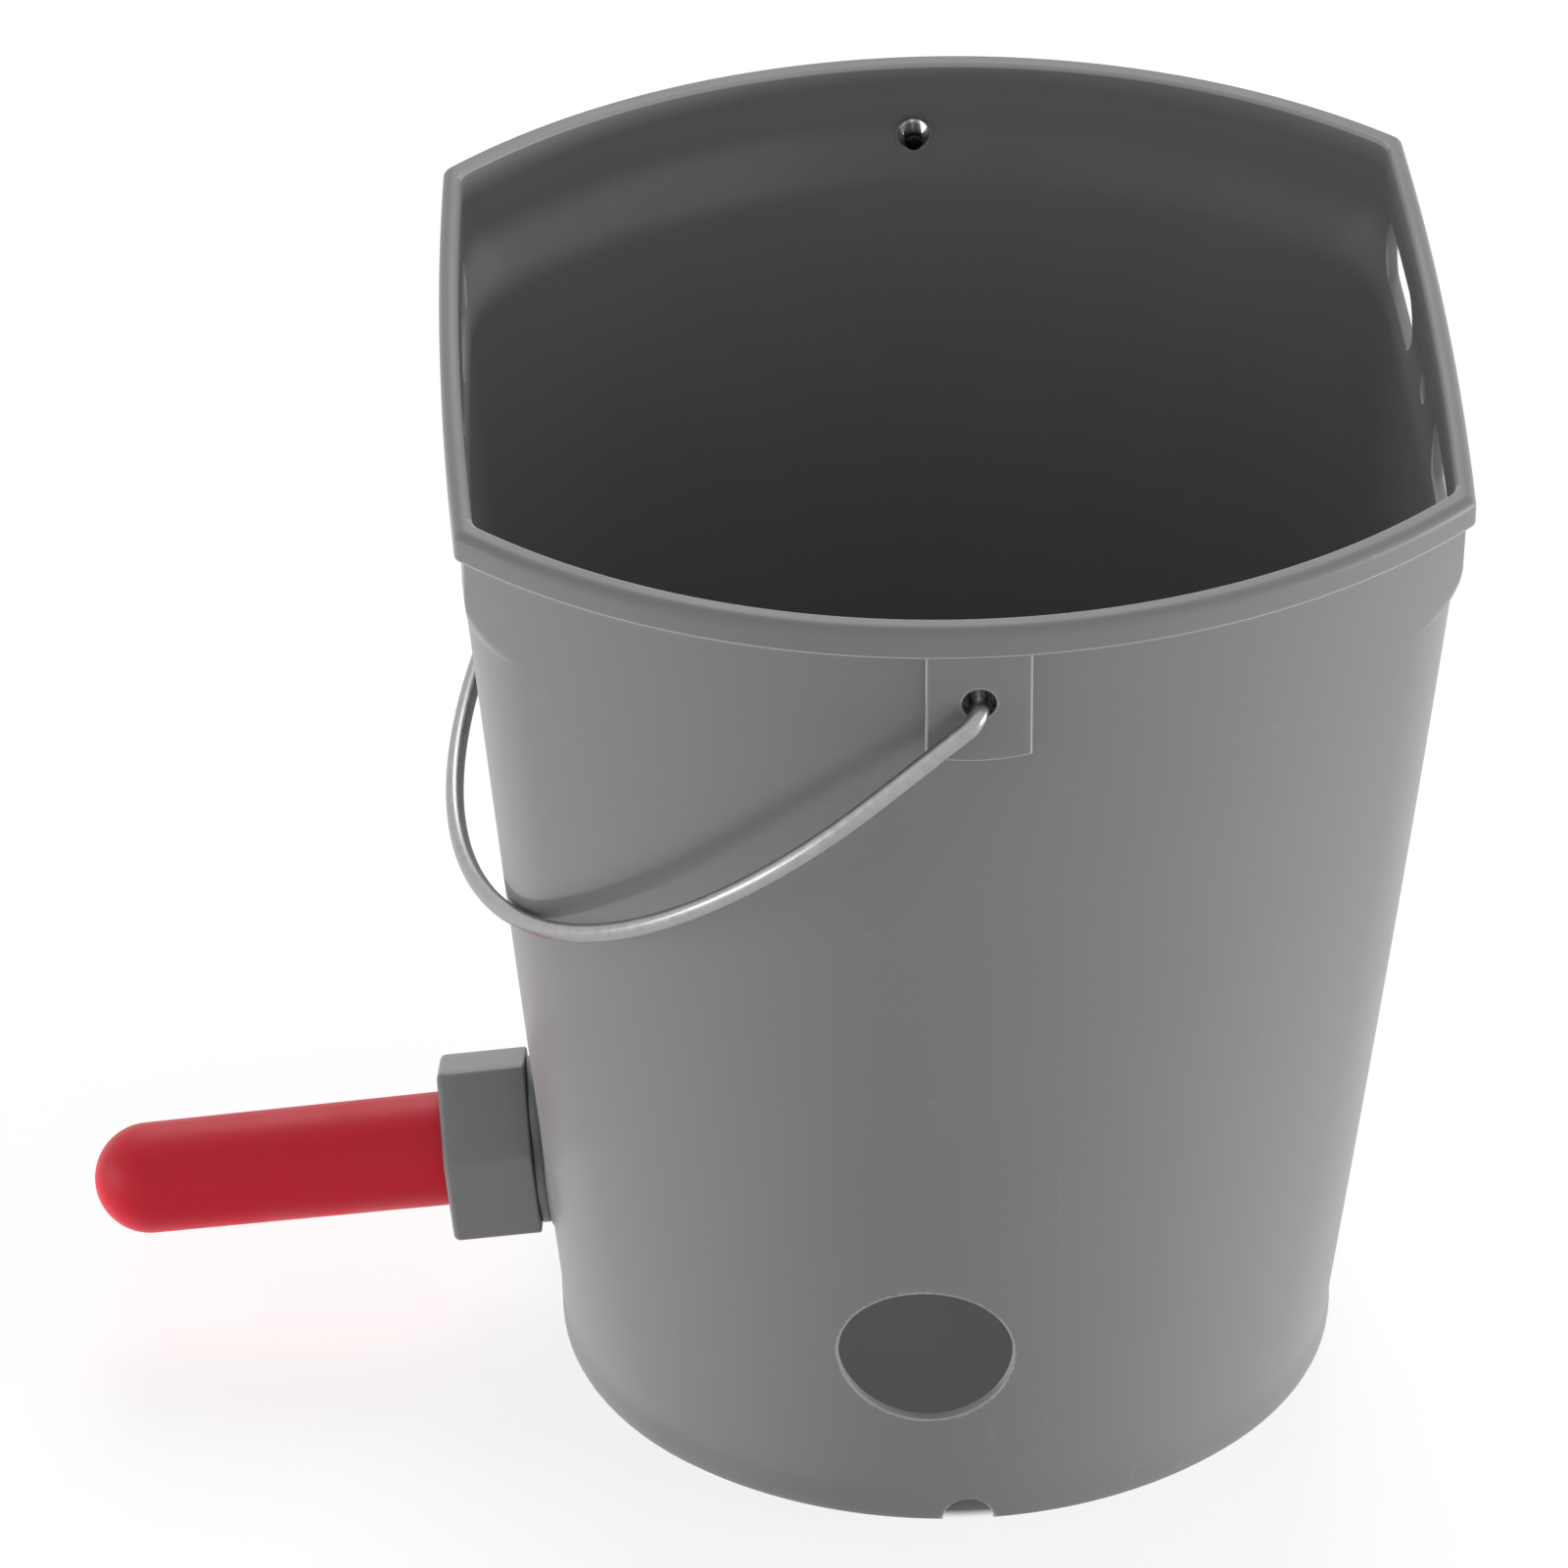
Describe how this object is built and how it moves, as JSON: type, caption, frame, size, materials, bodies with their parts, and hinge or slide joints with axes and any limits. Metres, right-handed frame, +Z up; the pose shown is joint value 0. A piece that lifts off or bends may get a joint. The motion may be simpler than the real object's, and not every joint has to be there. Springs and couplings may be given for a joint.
{
  "type": "calf feeder bucket",
  "caption": "Flat-sided plastic milk bucket for calves with a swinging wire bail and a screwed-on rubber teat with check valve.",
  "frame": {"origin": "on the ground at the centre of the foot ring, midway between the two flat sides", "axes": "+Z up; -X towards the teat, square to the two flat sides; Y along the bail pivot line, through both ears"},
  "size_m": [0.3159, 0.2542, 0.268],
  "materials": {
    "bucket_plastic": "matt moulded",
    "bail_wire": "galvanised, satin",
    "fitting_plastic": "matt moulded",
    "gasket_rubber": "matt",
    "cage_plastic": "matt moulded",
    "ball_plastic": "polished",
    "nut_plastic": "matt moulded",
    "teat_rubber": "soft sheen"
  },
  "bodies": {
    "bucket": {"bucket": "bucket_plastic", "valve_body": "fitting_plastic", "wall_gasket": "gasket_rubber", "lock_nut": "fitting_plastic", "ball_cage": "cage_plastic"},
    "bail": {"bail": "bail_wire"},
    "check_ball": {"check_ball": "ball_plastic"},
    "teat": {"teat": "teat_rubber"},
    "union_nut": {"union_nut": "nut_plastic"}
  },
  "joints": [
    {"name": "bail_swing", "type": "hinge", "parent": "bucket", "child": "bail", "pos_m": [0, 0, 0.2478], "axis": [0, 1, 0], "range_deg": [0, 264.8]},
    {"name": "ball_travel", "type": "slide", "parent": "bucket", "child": "check_ball", "axis": [0.9968, 0, 0.0799], "range_m": [0, 0.0054]},
    {"name": "teat_release", "type": "slide", "parent": "bucket", "child": "teat", "axis": [-0.9968, 0, -0.0799], "range_m": [0, 0.0136]},
    {"name": "nut_turn", "type": "hinge", "parent": "teat", "child": "union_nut", "pos_m": [-0.108, 0, 0.04193], "axis": [-0.9968, 0, -0.0799], "range_deg": [0, 1620]}
  ],
  "couplings": [
    {"joint": "teat_release", "follows": "nut_turn", "m_per_rad": 0.00047746}
  ]
}
